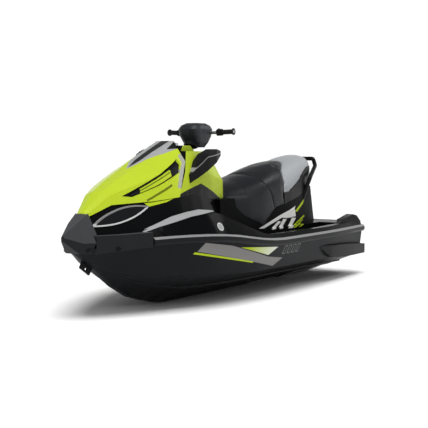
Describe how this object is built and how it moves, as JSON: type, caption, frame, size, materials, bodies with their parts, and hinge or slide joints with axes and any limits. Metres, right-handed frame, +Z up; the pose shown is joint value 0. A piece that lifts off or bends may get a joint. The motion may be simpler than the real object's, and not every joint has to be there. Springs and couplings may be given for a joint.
{
  "type": "personal watercraft",
  "caption": "Sit-on jet-drive watercraft: deep-V hull, hinged front hood over storage, tilted handlebar, long stepped seat, steerable nozzle with reverse bucket.",
  "frame": {"origin": "on the centreline at mid-length, on the plane of the water the empty craft floats in", "axes": "+X to the bow, +Y to port, +Z up"},
  "size_m": [3.1609, 1.164, 1.221],
  "materials": {
    "hull_charcoal": "satin gelcoat",
    "deck_black": "gloss gelcoat",
    "bumper_grey": "grained moulding",
    "rail_grey": "smooth rubber",
    "trim_black": "fine grain",
    "lime_gloss": "gloss lime green",
    "steel": "brushed",
    "pad_grey": "grained moulding",
    "grip_rubber": "ribbed",
    "vinyl_black": "marine vinyl",
    "vinyl_grey": "marine vinyl",
    "mat_grey": "grooved foam",
    "mirror_glass": "silvered",
    "cast_alloy": "cast, machined ends",
    "accent_grey": "silver grey paint"
  },
  "bodies": {
    "craft": {"hull": "hull_charcoal", "deck": "deck_black", "seat_pedestal": "deck_black", "cowl": "deck_black", "bow_bumper": "bumper_grey", "gunwale_rails": "rail_grey", "sponsons": "trim_black", "console": "lime_gloss", "hood_hinge": "steel", "seat_front": "vinyl_black", "seat_rear": "vinyl_grey", "seat_base": "trim_black", "grab_handle": "trim_black", "tow_hook": "trim_black", "footwell_mats": "mat_grey", "stern_mat": "mat_grey", "mirror_housings": "trim_black", "mirror_glasses": "mirror_glass", "pump_housing": "cast_alloy", "engine": "cast_alloy", "storage_tub": "trim_black", "ride_plate": "cast_alloy", "intake_grate": "cast_alloy", "accent_panels": "accent_grey", "intake_bezels": "accent_grey", "intake_grilles": "trim_black", "bow_eye": "trim_black", "stern_eyes": "steel", "stern_bumpers": "rail_grey"},
    "steering": {"handlebar": "steel", "steering_neck": "trim_black", "handlebar_pad": "pad_grey", "grips": "grip_rubber", "switch_housings": "trim_black"},
    "nozzle": {"steering_nozzle": "cast_alloy"},
    "bucket": {"reverse_bucket": "trim_black"},
    "rotor": {"impeller": "steel", "drive_shaft": "steel"},
    "hood": {"hood": "lime_gloss", "hood_vents": "trim_black", "hood_louvres": "lime_gloss"},
    "glove_lid": {"glove_lid": "trim_black"}
  },
  "joints": [
    {"name": "steering_turn", "type": "hinge", "parent": "craft", "child": "steering", "pos_m": [0.3075, 0, 0.74], "axis": [-0.342, 0, 0.9397], "range_deg": [-25, 25]},
    {"name": "nozzle_turn", "type": "hinge", "parent": "craft", "child": "nozzle", "pos_m": [-1.2295, 0, -0.15], "axis": [0, 0, 1], "range_deg": [-20, 20]},
    {"name": "bucket_swing", "type": "hinge", "parent": "craft", "child": "bucket", "pos_m": [-1.1615, 0, -0.15], "axis": [0, -1, 0], "range_deg": [0, 50]},
    {"name": "impeller_spin", "type": "hinge", "parent": "craft", "child": "rotor", "pos_m": [-0.9915, 0, -0.15], "axis": [1, 0, 0], "continuous": true},
    {"name": "hood_lift", "type": "hinge", "parent": "craft", "child": "hood", "pos_m": [0.5405, 0, 0.764], "axis": [0, -1, 0], "range_deg": [0, 60]},
    {"name": "glove_lid_drop", "type": "hinge", "parent": "craft", "child": "glove_lid", "pos_m": [0.1448, 0, 0.5547], "axis": [0, -1, 0], "range_deg": [0, 75]}
  ],
  "couplings": [
    {"joint": "nozzle_turn", "follows": "steering_turn", "ratio": -0.8}
  ]
}
